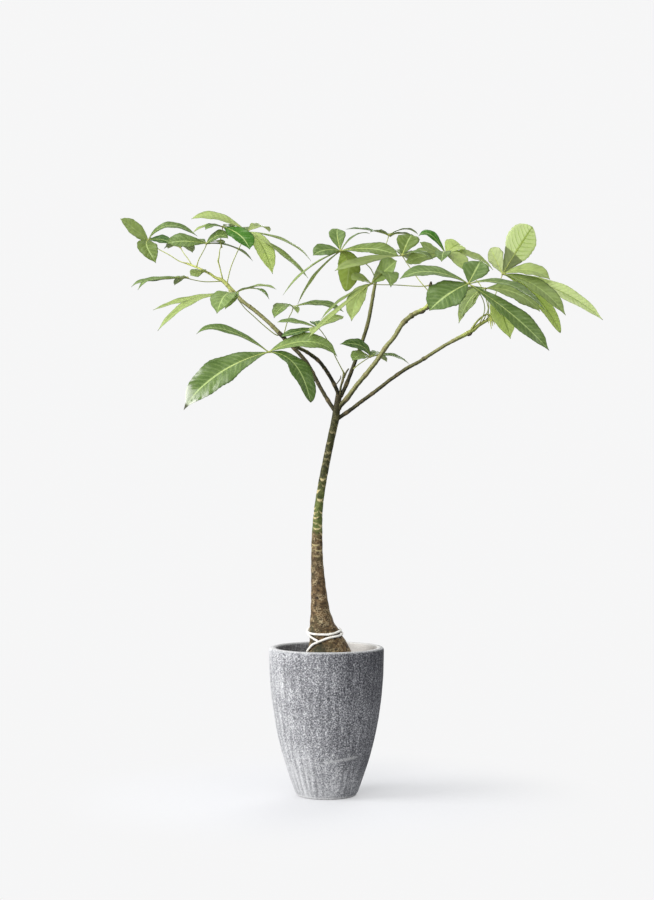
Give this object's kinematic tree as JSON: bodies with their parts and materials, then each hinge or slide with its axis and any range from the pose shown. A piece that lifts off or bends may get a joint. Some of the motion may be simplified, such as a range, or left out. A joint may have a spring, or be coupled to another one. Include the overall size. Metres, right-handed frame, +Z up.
{
  "type": "potted pachira houseplant",
  "caption": "Potted money tree: bent trunk with a flared foot, spreading branches and palmate leaves, in a tall ribbed stone-look pot that holds it upright.",
  "frame": {"origin": "centre of the pot's underside, on the surface that it stands on", "axes": "+Z up along the plant's height, -Y towards the front, +X towards the branch that reaches farthest"},
  "size_m": [1.0328, 0.4278, 1.24],
  "materials": {
    "pot": "rough granular grey with soft ribs and a pale haze",
    "soil": "loose dark potting soil, matte",
    "trunk_bark": "green-brown bark with pale leaf scars",
    "branch_bark": "smooth olive to brown young bark",
    "young_stem": "smooth yellow-green",
    "string": "matte twisted white string",
    "leaf": "smooth leathery green, paler underneath, soft gloss",
    "leaf_pale": "young yellow-green, soft gloss"
  },
  "bodies": {
    "root": {"pot": "pot", "soil": "soil", "trunk": "trunk_bark", "branch_centre": "branch_bark", "branch_left_outer": "branch_bark", "branch_left_inner": "branch_bark", "twig_centre": "branch_bark", "branch_right": "branch_bark", "branch_far_right": "branch_bark", "young_shoot": "young_stem", "tie_string": "string", "leaf_tip_left": "leaf", "leaf_high_left": "leaf", "leaf_back_left": "leaf", "leaf_top_left": "leaf", "leaf_side_left": "leaf", "leaf_small_left": "leaf", "leaf_shoot_left": "leaf", "leaf_mid_left": "leaf", "leaf_inner_left": "leaf", "leaf_low_left": "leaf", "leaf_centre_left": "leaf", "leaf_centre_top": "leaf", "leaf_centre": "leaf", "leaf_top_back": "leaf", "leaf_centre_low": "leaf", "leaf_inner_right": "leaf", "leaf_high_right": "leaf", "leaf_front_right": "leaf", "leaf_behind_right": "leaf", "leaf_pale_right": "leaf_pale", "leaf_low_right": "leaf"}
  },
  "joints": []
}
